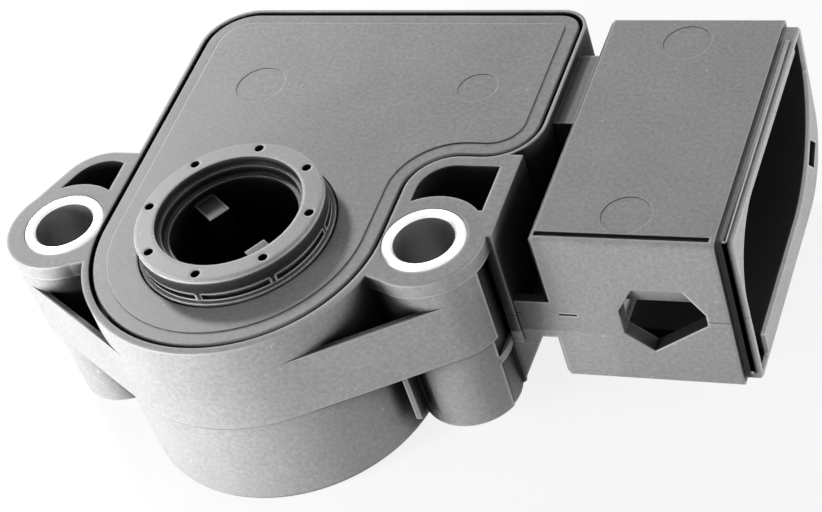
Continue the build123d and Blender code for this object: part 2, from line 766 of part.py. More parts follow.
# Rotor: drive collar with two tangs, skirted drum, hub and journal
with BuildPart() as rotor:
    with BuildSketch(Plane.XY.offset(drum_bottom)):
        Circle(drum_r)
    extrude(amount=drum_top - drum_bottom)
    with BuildSketch(Plane.XY.offset(drum_bottom)):
        Circle(drum_r - drum_wall)
        Circle(socket_r + socket_wall, mode=Mode.SUBTRACT)
    extrude(amount=drum_top - drum_top_wall - drum_bottom, mode=Mode.SUBTRACT)
    with BuildSketch(Plane.XY.offset(drum_bottom)):
        with PolarLocations((drum_r + socket_r) / 2, 1, stop_angle):
            Rectangle(drum_r - socket_r - drum_wall, wiper_boss_width)
    extrude(amount=drum_top - drum_top_wall - drum_bottom)
    with BuildSketch(Plane.XY.offset(drum_bottom)):
        with PolarLocations((drum_r + stop_lug_r - drum_wall) / 2, 1, stop_angle):
            Rectangle(stop_lug_r - drum_r + drum_wall, stop_lug_width)
    extrude(amount=stop_lug_top - drum_bottom)
    with BuildSketch(Plane.XY.offset(drum_top)):
        Circle(collar_r)
    extrude(amount=collar_top - drum_top)
    with BuildSketch(Plane.XY.offset(collar_lip_z)):
        Circle(collar_r + collar_lip)
    extrude(amount=collar_lip_height)
    chamfer(rotor.edges().group_by(Axis.Z)[-1], length=edge_soft)

    # Groove round the collar, left whole at the ribs under the dimples
    with BuildSketch(Plane.XY.offset(groove_low)):
        Circle(collar_r)
        Circle(collar_r - groove_depth, mode=Mode.SUBTRACT)
        with PolarLocations(collar_r, dimple_count, 90):
            Rectangle(4 * groove_depth, groove_rib, mode=Mode.SUBTRACT)
    extrude(amount=groove_high - groove_low, mode=Mode.SUBTRACT)

    # Stepped socket for the throttle shaft
    socket_bottom = drum_bottom + socket_floor
    with BuildSketch(Plane.XY.offset(socket_bottom)):
        Circle(socket_r)
    extrude(amount=collar_top - socket_bottom, mode=Mode.SUBTRACT)
    with BuildSketch(Plane.XY.offset(collar_top - socket_mouth_depth - socket_step_depth)):
        Circle(socket_step_r)
    extrude(amount=socket_mouth_depth + socket_step_depth, mode=Mode.SUBTRACT)
    with BuildSketch(Plane.XY.offset(collar_top - socket_mouth_depth)):
        Circle(socket_mouth_r)
    extrude(amount=socket_mouth_depth, mode=Mode.SUBTRACT)

    # Drive tangs that the shaft's blade pushes
    with BuildSketch(Plane.XY.offset(socket_bottom)):
        with PolarLocations((tang_tip_r + socket_step_r) / 2, 2, tang_angle):
            Rectangle(socket_step_r - tang_tip_r, tang_width)
    extrude(amount=tang_top - socket_bottom)

    # Dimples in the collar's face
    with BuildSketch(Plane.XY.offset(collar_top)):
        with PolarLocations(dimple_ring_r, dimple_count, 90):
            RegularPolygon(dimple_r, dimple_facets)
    extrude(amount=-dimple_depth, mode=Mode.SUBTRACT)

    # Hub with a slot for the spring's moving leg, and the journal below it
    with BuildSketch(Plane.XY.offset(drum_bottom)):
        Circle(hub_r)
    extrude(amount=hub_bottom - drum_bottom)
    with BuildSketch(Plane.XY.offset(hub_bottom)):
        Circle(journal_r)
    extrude(amount=well_floor + journal_end_gap - hub_bottom)
    with BuildSketch(Plane.XY.offset(spring_high - spring_wire / 2 - spring_slot_gap)):
        with PolarLocations(hub_r, 1, spring_leg_angle):
            Rectangle(2 * (hub_r - spring_leg_tip_r + spring_slot_gap), spring_wire + 2 * spring_slot_gap)
    extrude(amount=spring_wire + 2 * spring_slot_gap, mode=Mode.SUBTRACT)
rotor.part.label = "rotor"
export_step(rotor.part, "parts/rotor.step")

# Low-friction washer between the rotor's drum and the cover
with BuildPart() as thrust_washer:
    with BuildSketch(Plane.XY.offset(cover_under)):
        Circle(washer_r)
        Circle(collar_r + washer_radial_gap, mode=Mode.SUBTRACT)
    extrude(amount=-washer_thickness)
thrust_washer.part.label = "thrust_washer"
export_step(thrust_washer.part, "parts/thrust_washer.step")

# Lip seal in the bore under the cover's skin, running close round the collar
with BuildPart() as rotor_seal:
    seal_outer = seal_bore_r - press_clearance
    seal_inner = collar_r + lip_gap
    with BuildSketch(Plane.XZ):
        with BuildLine():
            Polyline(
                (seal_outer, cover_under),
                (seal_outer, cover_under + rotor_seal_height),
                (seal_inner, cover_under + rotor_seal_height + lip_rise),
                (seal_outer - rotor_seal_wall, cover_under + rotor_seal_height - lip_thickness),
                (seal_outer - rotor_seal_wall, cover_under),
                close=True,
            )
        make_face()
    revolve(axis=Axis.Z)
rotor_seal.part.label = "rotor_seal"
export_step(rotor_seal.part, "parts/rotor_seal.step")

# Plain bearing for the rotor's journal
with BuildPart() as bearing_bush:
    with BuildSketch(Plane.XY.offset(well_floor)):
        Circle(bearing_r)
        Circle(journal_r + journal_clearance, mode=Mode.SUBTRACT)
    extrude(amount=bearing_length)
bearing_bush.part.label = "bearing_bush"
export_step(bearing_bush.part, "parts/bearing_bush.step")

# Torsion spring: half turns about leaning axes, one leg out to the housing and one leg in to the hub
with BuildPart() as return_spring:
    for half_turn in range(2 * spring_turns):
        side = 1 if half_turn % 2 == 0 else -1
        start_z = spring_low + half_turn * spring_pitch / 2
        rise = spring_pitch / 4
        with BuildSketch(Plane.XZ):
            with Locations((side * spring_r, start_z)):
                RegularPolygon(spring_wire / 2, wire_facets)
        revolve(axis=Axis((0, 0, start_z + rise), (side * rise, 0, spring_r)), revolution_arc=180)
    with BuildSketch(Plane.YZ.offset(spring_r)):
        with Locations((0, spring_low)):
            RegularPolygon(spring_wire / 2, wire_facets)
    extrude(amount=spring_well_r + spring_leg_bury - spring_r)
    with BuildSketch(Plane.YZ.offset(spring_leg_tip_r)):
        with Locations((0, spring_high)):
            RegularPolygon(spring_wire / 2, wire_facets)
    extrude(amount=spring_r - spring_leg_tip_r)
return_spring.part.label = "return_spring"
export_step(return_spring.part, "parts/return_spring.step")

# Board that carries the printed tracks, notched round the stop ribs
with BuildPart() as element_board:
    with BuildSketch(Plane.XY.offset(board_under)):
        add(cover_shape(chamber_grow - board_gap))
        Circle(hub_r + hub_gap, mode=Mode.SUBTRACT)
        for angle in stop_angles:
            with PolarLocations((stop_rib_r + cover_r) / 2, 1, angle):
                Rectangle(
                    cover_r - stop_rib_r + 2 * board_gap,
                    stop_rib_width + 2 * board_gap,
                    mode=Mode.SUBTRACT,
                )
    extrude(amount=board_thickness)
element_board.part.label = "element_board"
export_step(element_board.part, "parts/element_board.step")

# Carbon track that the outer wiper arm sweeps
wiper_knee = wiper_half_width + wiper_reach - wiper_foot
wiper_lead = degrees(atan2(wiper_knee, (outer_track_r + inner_track_r) / 2))
track_start = stop_angle + wiper_lead - track_margin_angle
track_sweep = stop_travel_angle + 2 * track_margin_angle
with BuildPart() as resistor_track:
    with BuildSketch(Plane.XY.offset(board_top)):
        with BuildLine():
            CenterArc((0, 0), outer_track_r, track_start, track_sweep)
        trace(line_width=track_width)
    extrude(amount=print_thickness)
resistor_track.part.label = "resistor_track"
export_step(resistor_track.part, "parts/resistor_track.step")

# Silver leads: one from each end of the carbon track, and the collector under the inner arm
pad_x = terminal_inner_x + contact_set_back + contact_length
board_ys = [
    bridge_mid_y + (index - middle_terminal) * terminal_pitch_board
    for index in range(len(terminal_names))
]
track_end = track_start + track_sweep
lead_arcs = (
    (outer_track_r, right_lead_angle, track_end),
    (inner_track_r, inner_lead_angle, track_start),
    (outer_track_r, left_lead_angle, track_start),
)
for name, board_y, (arc_r, lead_angle, joined_angle) in zip(terminal_names, board_ys, lead_arcs):
    with BuildPart() as conductor:
        with BuildSketch(Plane.XY.offset(board_top)):
            with BuildLine():
                arc = CenterArc((0, 0), arc_r, lead_angle, joined_angle - lead_angle)
                Polyline(arc @ 0, ((arc @ 0).X, board_y), (pad_x, board_y))
            trace(line_width=lead_width)
            with Locations((pad_x - contact_length / 2, board_y)):
                Rectangle(contact_length + lead_width, contact_width + lead_width / 2)
            if arc_r == inner_track_r:
                with BuildLine():
                    CenterArc((0, 0), inner_track_r, track_start, track_sweep)
                trace(line_width=track_width)
        extrude(amount=print_thickness)
    conductor.part.label = f"conductor_{name}"
    export_step(conductor.part, f"parts/conductor_{name}.step")

# Sprung wiper: a plate on the drum's boss with one arm for each track
radial = Vector(1, 0, 0).rotate(Axis.Z, stop_angle)
tangent = Vector(0, 1, 0).rotate(Axis.Z, stop_angle)
wiper_plate_z = drum_bottom - wiper_thickness / 2
wiper_foot_z = board_top + print_thickness + contact_gap + wiper_thickness / 2
with BuildPart() as wiper_contact:
    inner_edge = inner_track_r - wiper_arm_width / 2
    with BuildSketch(Plane(origin=radial * inner_edge, x_dir=tangent, z_dir=radial)):
        with Locations((0, wiper_plate_z)):
            Rectangle(2 * wiper_half_width, wiper_thickness)
    extrude(amount=outer_track_r - inner_track_r + wiper_arm_width)
    for track_r in (inner_track_r, outer_track_r):
        arm_start = radial * (track_r - wiper_arm_width / 2)
        with BuildSketch(Plane(origin=arm_start, x_dir=tangent, z_dir=radial)):
            with BuildLine():
                Polyline(
                    (0, wiper_plate_z),
                    (wiper_half_width, wiper_plate_z),
                    (wiper_knee, wiper_foot_z),
                    (wiper_knee + wiper_foot, wiper_foot_z + wiper_foot_rise),
                )
            trace(line_width=wiper_thickness)
        extrude(amount=wiper_arm_width)
wiper_contact.part.label = "wiper_contact"
export_step(wiper_contact.part, "parts/wiper_contact.step")

# Terminals, and the sprung contacts that join each one to its pad
for index, name in enumerate(terminal_names):
    with BuildPart() as terminal:
        with BuildSketch(Plane.XY.offset(terminal_under)):
            add(terminal_plan(index, 0))
        extrude(amount=terminal_thickness)
        chamfer(terminal.faces().sort_by(Axis.X)[-1].edges(), length=terminal_tip_bevel)
    terminal.part.label = f"terminal_{name}"
    export_step(terminal.part, f"parts/terminal_{name}.step")

    contact_low = board_top + print_thickness + contact_strip / 2
    contact_high = terminal_under - contact_strip / 2
    contact_left = terminal_inner_x + contact_set_back
    with BuildPart() as contact_spring:
        with BuildSketch(Plane.XZ.offset(-board_ys[index] - contact_width / 2)):
            with BuildLine():
                Polyline(
                    (contact_left + contact_length, contact_low),
                    (contact_left, contact_low),
                    (contact_left, contact_high),
                    (contact_left + contact_length, contact_high),
                )
            trace(line_width=contact_strip)
        extrude(amount=contact_width)
    contact_spring.part.label = f"contact_spring_{name}"
    export_step(contact_spring.part, f"parts/contact_spring_{name}.step")

# Rubber block that seals the terminals in the floor of the shroud
with BuildPart() as terminal_seal:
    with BuildSketch(Plane.YZ.offset(plug_floor - seal_block_depth)):
        with Locations((plug_mid_y, terminal_z)):
            Rectangle(seal_block_width, seal_block_height)
    extrude(amount=seal_block_depth)
    for slot in terminal_slots:
        with BuildSketch(Plane.XY.offset(terminal_under - terminal_clearance)):
            add(slot)
        extrude(amount=terminal_thickness + 2 * terminal_clearance, mode=Mode.SUBTRACT)
terminal_seal.part.label = "terminal_seal"
export_step(terminal_seal.part, "parts/terminal_seal.step")
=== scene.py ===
import json
import logging
import math
from dataclasses import dataclass
from enum import Enum

import bpy
from mathutils import Matrix, Vector


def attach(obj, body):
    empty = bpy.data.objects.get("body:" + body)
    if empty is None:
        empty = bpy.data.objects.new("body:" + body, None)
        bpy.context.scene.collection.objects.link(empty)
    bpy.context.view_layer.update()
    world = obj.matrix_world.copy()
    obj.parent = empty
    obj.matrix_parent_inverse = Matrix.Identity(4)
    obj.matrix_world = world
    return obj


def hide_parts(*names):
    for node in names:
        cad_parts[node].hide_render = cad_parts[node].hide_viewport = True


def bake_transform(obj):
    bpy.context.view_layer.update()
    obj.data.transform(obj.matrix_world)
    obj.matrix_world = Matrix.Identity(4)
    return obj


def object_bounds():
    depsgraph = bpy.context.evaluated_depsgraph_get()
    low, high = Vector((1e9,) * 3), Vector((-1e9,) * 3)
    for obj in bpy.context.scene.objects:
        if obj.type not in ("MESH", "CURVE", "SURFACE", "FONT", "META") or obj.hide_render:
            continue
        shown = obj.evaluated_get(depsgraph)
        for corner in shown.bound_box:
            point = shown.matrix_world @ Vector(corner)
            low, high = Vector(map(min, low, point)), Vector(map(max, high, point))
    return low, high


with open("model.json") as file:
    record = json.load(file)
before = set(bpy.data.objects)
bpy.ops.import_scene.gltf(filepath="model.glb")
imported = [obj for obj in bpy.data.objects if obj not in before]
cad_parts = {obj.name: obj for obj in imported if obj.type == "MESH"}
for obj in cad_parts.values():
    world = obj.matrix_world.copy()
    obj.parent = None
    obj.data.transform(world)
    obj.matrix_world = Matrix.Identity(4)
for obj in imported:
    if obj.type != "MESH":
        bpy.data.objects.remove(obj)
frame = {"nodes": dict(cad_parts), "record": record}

LOG = logging.getLogger("throttle_position_sensor")
CAD_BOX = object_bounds()
MM = 0.001

# Sockets of a colour Mix node: share of the upper colour, lower colour, upper colour, result
MIX_SHARE, MIX_LOWER, MIX_UPPER, MIX_RESULT = 0, 6, 7, 2
# Nearly all of a noise texture lies between these values
NOISE_LOW, NOISE_HIGH = 0.3, 0.7
# Rays that look for edges and for open sky at each point of a surface
EDGE_RAYS, SKY_RAYS = 6, 8
# Edges sharper than the first are bevelled, and edges flatter than the second look smooth
SHARP_ANGLE, SMOOTH_ANGLE = math.radians(30), math.radians(40)

Socket = bpy.types.NodeSocket
Colour = tuple[float, float, float, float]


def linear(code: str) -> Colour:
    """Turns an sRGB hex value into a linear colour.

    Args:
        code: Six hex digits, with or without a leading hash.

    Returns:
        Red, green, blue and alpha, linear.
    """
    digits = code.lstrip("#")
    parts = [int(digits[i:i + 2], 16) / 255 for i in (0, 2, 4)]
    low, slope, offset, power = 0.04045, 12.92, 0.055, 2.4
    red, green, blue = (
        p / slope if p <= low else ((p + offset) / (1 + offset)) ** power for p in parts
    )
    return red, green, blue, 1.0


def per_mm(size: float) -> float:
    """Texture scale that gives a feature the given size in millimetres."""
    return 1 / (size * MM)


def add_node(
    tree: bpy.types.NodeTree,
    kind: str,
    inputs: dict[str | int, object] | None = None,
    **settings: object,
) -> bpy.types.Node:
    """Adds a shader node with its settings and links.

    Args:
        tree: Node tree that gets the node.
        kind: Node type without its ShaderNode prefix.
        inputs: Value or linked socket for each input, by name or index.
        **settings: Node properties to set before the inputs.

    Returns:
        The new node.
    """
    node = tree.nodes.new("ShaderNode" + kind)
    for name, value in settings.items():
        setattr(node, name, value)
    for name, value in (inputs or {}).items():
        if isinstance(value, Socket):
            tree.links.new(value, node.inputs[name])
        else:
            node.inputs[name].default_value = value
    return node


def new_material(name: str) -> bpy.types.Material:
    """Makes a material with an empty node tree.

    Args:
        name: Name of the real material and of how its surface was made.

    Returns:
        The new material.
    """
    material = bpy.data.materials.new(name)
    material.use_nodes = True
    material.node_tree.nodes.clear()
    return material


def end_surface(
    tree: bpy.types.NodeTree, relief: dict[str, object], look: dict[str, object]
) -> None:
    """Ends a material with its relief, its shader and its output.

    Args:
        tree: Node tree of the material.
        relief: Inputs of the bump: its height, its distance and, if needed, the normal under it.
        look: Inputs of the shader, apart from its normal.
    """
    bump = add_node(tree, "Bump", {"Strength": 1.0, **relief}).outputs["Normal"]
    shader = add_node(tree, "BsdfPrincipled", {"Normal": bump, **look})
    add_node(tree, "OutputMaterial", {"Surface": shader.outputs["BSDF"]})


class Slot(str, Enum):
    """Material slots of the record that a finish stands for."""

    HOUSING = "housing_plastic"
    COVER = "cover_plastic"
    ROTOR = "rotor_plastic"
    BUSH = "bush_steel"
    SEAL = "seal_rubber"
    WASHER = "washer_plastic"
    BEARING = "bearing_bronze"
    SPRING = "spring_steel"
    BOARD = "board_laminate"
    CARBON = "carbon_ink"
    SILVER = "silver_ink"
    CONTACT = "contact_bronze"
    TERMINAL = "terminal_brass"


@dataclass(frozen=True)
class MouldedPlastic:
    """Glass-filled thermoplastic, injection moulded with a fine spark-eroded grain.

    The grain gives a soft matt face and short glass fibres show as paler specks. Rounded mould edges
    get a pale line that is partly rubbed plastic and partly painted highlight, painted shade darkens
    the deep recesses and the narrow gaps, and the parting line is partly a witness line and partly
    painted shadow under its step. Sizes, reaches and places are in millimetres. The shut and open
    values are
    shares of open sky: at the first the painted shade is full, and at the second there is none.
    """

    name: str
    base: str
    pale: str
    # Colour of the painted shade and of the parting line
    recess: str
    roughness: float = 0.56
    rough_swing: float = 0.06
    gloss: float = 0.2
    ior: float = 1.52
    # Real spark-eroded grain is about 0.1 mm: it is drawn this coarse so that it shows
    grain: float = 0.34
    grain_depth: float = 0.006
    grain_swing: float = 0.15
    blotch: float = 7.0
    blotch_swing: float = 0.05
    # Glass fibres are about 0.3 mm long: their specks are drawn this coarse so that they show
    speck: float = 0.6
    speck_range: tuple[float, float] = (0.76, 0.8)
    speck_share: float = 0.4
    edge_radius: float = 0.42
    # Pale edge line: partly rubbed plastic, partly painted highlight
    edge_wear_and_highlight: float = 0.85
    # Cosines between the rounded and the flat normal where the pale edge line starts and where it is
    # full: the line is partly rubbed plastic and partly painted highlight
    edge_range: tuple[float, float] = (0.985, 0.86)
    # Shares of open sky where an edge starts to stand proud and where it fully does
    proud_range: tuple[float, float] = (0.55, 0.75)
    # Painted shade: places with little open sky within this reach are darkened
    recess_reach: float = 28.0
    recess_shut: float = 0.6
    recess_open: float = 0.93
    recess_dark: float = 0.97
    # Least and greatest x and the top of a place where no shade is painted
    recess_free: tuple[float, float, float] | None = None
    # Painted shade in the narrow gaps and inner corners
    crease_reach: float = 0.9
    crease_shut: float = 0.5
    crease_open: float = 0.9
    crease_dark: float = 0.9
    # Faces whose normal has a lower z than this look at the floor, and get no painted gap shade
    crease_floor: float = -0.7
    # Parting line: partly a witness line, partly painted shadow under its step
    seam_z: float | None = None
    seam_width: float = 0.07
    # Share of the width, from the middle out, that is fully dark before the line fades
    seam_core: float = 0.5
    # Values of the slow noise where the line is faintest and darkest, and its share there
    seam_break: tuple[float, float] = (0.35, 0.6)
    seam_dark: tuple[float, float] = (0.3, 0.85)
    # The seam shows left of the first x, and right of the second in front of seam_back_y
    seam_free_x: tuple[float, float] = (23.0, 39.0)
    seam_back_y: float = 4.0

    def build(self) -> bpy.types.Material:
        """Makes the node material.

        Returns:
            The finished material.
        """
        material = new_material(self.name)
        tree = material.node_tree
        place = add_node(tree, "TexCoord").outputs["Object"]
        # Size, detail and roughness of each noise
        settings = ((self.grain, 3.0, 0.6), (self.blotch, 4.0, 0.5), (self.speck, 1.0, 0.5))
        grain, blotch, speck = (
            add_node(
                tree, "TexNoise",
                {"Vector": place, "Scale": per_mm(size), "Detail": detail, "Roughness": rough},
            ).outputs["Fac"]
            for size, detail, rough in settings
        )
        rounded = add_node(
            tree, "Bevel", {"Radius": self.edge_radius * MM}, samples=EDGE_RAYS
        ).outputs["Normal"]
        flat = add_node(tree, "NewGeometry").outputs["Normal"]
        sky = add_node(
            tree, "AmbientOcclusion", {"Distance": self.recess_reach * MM}, samples=SKY_RAYS,
            only_local=True,
        ).outputs["AO"]
        # Over the base colour: fibre specks, painted shade, a painted highlight on edges, the parting
        # line
        layers: list[tuple[str, Socket]] = [
            (self.pale, self.fibres(tree, speck)),
            (self.recess, self.hollow(tree, place, sky)),
            (self.recess, self.crease(tree, flat)),
            (self.pale, self.wear_and_highlight(tree, rounded, flat, sky)),
        ]
        if self.seam_z is not None:
            layers.append((self.recess, self.seam(tree, place, blotch)))
        body = self.mottle(tree, grain, blotch)
        for colour, share in layers:
            body = add_node(
                tree, "Mix", {MIX_SHARE: share, MIX_LOWER: body, MIX_UPPER: linear(colour)},
                data_type="RGBA",
            ).outputs[MIX_RESULT]
        rough = add_node(
            tree, "MapRange",
            {"Value": grain, "From Min": NOISE_LOW, "From Max": NOISE_HIGH,
             "To Min": self.roughness - self.rough_swing,
             "To Max": self.roughness + self.rough_swing},
        ).outputs["Result"]
        end_surface(
            tree, {"Height": grain, "Distance": self.grain_depth * MM, "Normal": rounded},
            {"Base Color": body, "Roughness": rough, "IOR": self.ior,
             "Specular IOR Level": self.gloss},
        )
        return material

    def mottle(self, tree: bpy.types.NodeTree, grain: Socket, blotch: Socket) -> Socket:
        """Varies the base colour with the grain and with slow blotches.

        Args:
            tree: Node tree of the material.
            grain: Fine noise.
            blotch: Slow noise.

        Returns:
            The varied colour.
        """
        tone, cloud = (
            add_node(
                tree, "MapRange",
                {"Value": noise, "From Min": NOISE_LOW, "From Max": NOISE_HIGH,
                 "To Min": 1 - swing, "To Max": 1 + swing},
            ).outputs["Result"]
            for noise, swing in ((grain, self.grain_swing), (blotch, self.blotch_swing))
        )
        shade = add_node(tree, "Math", {0: tone, 1: cloud}, operation="MULTIPLY").outputs[0]
        return add_node(
            tree, "Mix", {MIX_SHARE: 1.0, MIX_LOWER: linear(self.base), MIX_UPPER: shade},
            data_type="RGBA", blend_type="MULTIPLY",
        ).outputs[MIX_RESULT]

    def fibres(self, tree: bpy.types.NodeTree, speck: Socket) -> Socket:
        """Picks the peaks of a noise as glass fibres that show at the surface.

        Args:
            tree: Node tree of the material.
            speck: Noise of the specks.

        Returns:
            Share of the pale colour.
        """
        start, full = self.speck_range
        return add_node(
            tree, "MapRange",
            {"Value": speck, "From Min": start, "From Max": full,
             "To Min": 0.0, "To Max": self.speck_share},
        ).outputs["Result"]

    def wear_and_highlight(
        self, tree: bpy.types.NodeTree, rounded: Socket, flat: Socket, sky: Socket
    ) -> Socket:
        """Finds the edges for a pale line, partly rubbed plastic and partly painted highlight, where
        the rounded normal leaves the flat one, outside recesses.

        Args:
            tree: Node tree of the material.
            rounded: Normal with rounded edges.
            flat: Normal of the surface.
            sky: Share of open sky.

        Returns:
            Share of the pale colour, from zero to the greatest share of the edge line.
        """
        turn = add_node(
            tree, "VectorMath", {0: rounded, 1: flat}, operation="DOT_PRODUCT"
        ).outputs["Value"]
        start, full = self.edge_range
        worn_and_lit = add_node(
            tree, "MapRange",
            {"Value": turn, "From Min": start, "From Max": full,
             "To Min": 0.0, "To Max": self.edge_wear_and_highlight},
        ).outputs["Result"]
        start, full = self.proud_range
        proud = add_node(
            tree, "MapRange", {"Value": sky, "From Min": start, "From Max": full}
        ).outputs["Result"]
        return add_node(tree, "Math", {0: worn_and_lit, 1: proud}, operation="MULTIPLY").outputs[0]

    def hollow(self, tree: bpy.types.NodeTree, place: Socket, sky: Socket) -> Socket:
        """Paints shade into the deep recesses, apart from the pale gusset under the neck.

        Args:
            tree: Node tree of the material.
            place: Object coordinates.
            sky: Share of open sky.

        Returns:
            Share of painted shade, from zero to its greatest share.
        """
        deep = add_node(
            tree, "MapRange",
            {"Value": sky, "From Min": self.recess_open, "From Max": self.recess_shut,
             "To Min": 0.0, "To Max": self.recess_dark},
        ).outputs["Result"]
        if self.recess_free is None:
            return deep
        left, right, top = self.recess_free
        axes = add_node(tree, "SeparateXYZ", {0: place}).outputs
        inside = add_node(
            tree, "Math", {0: axes["X"], 1: (left + right) / 2 * MM, 2: (right - left) / 2 * MM},
            operation="COMPARE",
        ).outputs[0]
        under = add_node(
            tree, "Math", {0: axes["Z"], 1: top * MM}, operation="LESS_THAN"
        ).outputs[0]
        unshaded = add_node(tree, "Math", {0: inside, 1: under}, operation="MULTIPLY").outputs[0]
        shaded = add_node(tree, "Math", {0: 1.0, 1: unshaded}, operation="SUBTRACT").outputs[0]
        return add_node(tree, "Math", {0: deep, 1: shaded}, operation="MULTIPLY").outputs[0]

    def crease(self, tree: bpy.types.NodeTree, flat: Socket) -> Socket:
        """Paints shade into the narrow gaps and inner corners, but not onto the underside.

        Args:
            tree: Node tree of the material.
            flat: Normal of the surface.

        Returns:
            Share of painted shade, from zero to its greatest share.
        """
        near = add_node(
            tree, "AmbientOcclusion", {"Distance": self.crease_reach * MM}, samples=SKY_RAYS
        ).outputs["AO"]
        gap_shade = add_node(
            tree, "MapRange",
            {"Value": near, "From Min": self.crease_open, "From Max": self.crease_shut,
             "To Min": 0.0, "To Max": self.crease_dark},
        ).outputs["Result"]
        lift = add_node(tree, "SeparateXYZ", {0: flat}).outputs["Z"]
        seen = add_node(
            tree, "Math", {0: lift, 1: self.crease_floor}, operation="GREATER_THAN"
        ).outputs[0]
        return add_node(tree, "Math", {0: gap_shade, 1: seen}, operation="MULTIPLY").outputs[0]

    def seam(self, tree: bpy.types.NodeTree, place: Socket, blotch: Socket) -> Socket:
        """Finds the line where the mould halves met: witness line and painted shadow under its step.

        Args:
            tree: Node tree of the material.
            place: Object coordinates.
            blotch: Slow noise that breaks the line up.

        Returns:
            Share of the dark colour.
        """
        axes = add_node(tree, "SeparateXYZ", {0: place}).outputs
        away = add_node(
            tree, "Math", {0: axes["Z"], 1: self.seam_z * MM}, operation="SUBTRACT"
        ).outputs[0]
        away = add_node(tree, "Math", {0: away}, operation="ABSOLUTE").outputs[0]
        line = add_node(
            tree, "MapRange",
            {"Value": away, "From Min": self.seam_width * MM,
             "From Max": self.seam_core * self.seam_width * MM},
        ).outputs["Result"]
        start, full = self.seam_break
        faint, dark = self.seam_dark
        broken = add_node(
            tree, "MapRange",
            {"Value": blotch, "From Min": start, "From Max": full, "To Min": faint, "To Max": dark},
        ).outputs["Result"]
        left, right = self.seam_free_x
        before, after, front = (
            add_node(tree, "Math", {0: axes[axis], 1: limit * MM}, operation=test).outputs[0]
            for axis, limit, test in (
                ("X", left, "LESS_THAN"), ("X", right, "GREATER_THAN"),
                ("Y", self.seam_back_y, "LESS_THAN"),
            )
        )
        after = add_node(tree, "Math", {0: after, 1: front}, operation="MULTIPLY").outputs[0]
        shown = add_node(tree, "Math", {0: before, 1: after}, operation="MAXIMUM").outputs[0]
        amount = add_node(tree, "Math", {0: line, 1: broken}, operation="MULTIPLY").outputs[0]
        return add_node(tree, "Math", {0: amount, 1: shown}, operation="MULTIPLY").outputs[0]


@dataclass(frozen=True)
class Metal:
    """Bare or plated metal with fine tool marks, a slow stain and, if asked, painted shade in a bore.

    The marks run across Z, which is round the axis on turned pieces. Sizes are in millimetres.
    """

    name: str
    base: str
    tarnish: str
    roughness: float
    # Tool marks are a few hundredths of a millimetre wide: so that they show, they are drawn this
    # long and, by the stretch along Z, an eighth as wide
    mark: float = 0.96
    mark_depth: float = 0.003
    mark_stretch: tuple[float, float, float] = (1.0, 1.0, 8.0)
    # The roughness falls by the first where the marks are shallow and rises by the second
    rough_swing: tuple[float, float] = (0.05, 0.08)
    stain: float = 2.5
    stain_range: tuple[float, float] = (0.5, 0.75)
    stain_share: float = 0.35
    # Colour of the painted shade in the bore, if any
    bore_shade: str | None = None
    bore_reach: float = 9.0
    bore_open: float = 0.8
    bore_shut: float = 0.45
    bore_dark: float = 0.9

    def build(self) -> bpy.types.Material:
        """Makes the node material.

        Returns:
            The finished material.
        """
        material = new_material(self.name)
        tree = material.node_tree
        place = add_node(tree, "TexCoord").outputs["Object"]
        drawn = add_node(
            tree, "Mapping", {"Vector": place, "Scale": self.mark_stretch}
        ).outputs[0]
        marks, stain = (
            add_node(
                tree, "TexNoise", {"Vector": at, "Scale": per_mm(size), "Detail": 3.0}
            ).outputs["Fac"]
            for at, size in ((drawn, self.mark), (place, self.stain))
        )
        start, full = self.stain_range
        dull = add_node(
            tree, "MapRange",
            {"Value": stain, "From Min": start, "From Max": full,
             "To Min": 0.0, "To Max": self.stain_share},
        ).outputs["Result"]
        layers: list[tuple[str, Socket]] = [(self.tarnish, dull)]
        if self.bore_shade is not None:
            layers.append((self.bore_shade, self.bore(tree)))
        body: Colour | Socket = linear(self.base)
        for colour, share in layers:
            body = add_node(
                tree, "Mix", {MIX_SHARE: share, MIX_LOWER: body, MIX_UPPER: linear(colour)},
                data_type="RGBA",
            ).outputs[MIX_RESULT]
        fall, rise = self.rough_swing
        rough = add_node(
            tree, "MapRange",
            {"Value": marks, "From Min": NOISE_LOW, "From Max": NOISE_HIGH,
             "To Min": self.roughness - fall, "To Max": self.roughness + rise},
        ).outputs["Result"]
        end_surface(
            tree, {"Height": marks, "Distance": self.mark_depth * MM},
            {"Base Color": body, "Metallic": 1.0, "Roughness": rough},
        )
        return material

    def bore(self, tree: bpy.types.NodeTree) -> Socket:
        """Paints shade into the bore, where there is little open sky.

        Args:
            tree: Node tree of the material.

        Returns:
            Share of painted shade, from zero to its greatest share.
        """
        sky = add_node(
            tree, "AmbientOcclusion", {"Distance": self.bore_reach * MM}, samples=SKY_RAYS,
            only_local=True,
        ).outputs["AO"]
        return add_node(
            tree, "MapRange",
            {"Value": sky, "From Min": self.bore_open, "From Max": self.bore_shut,
             "To Min": 0.0, "To Max": self.bore_dark},
        ).outputs["Result"]


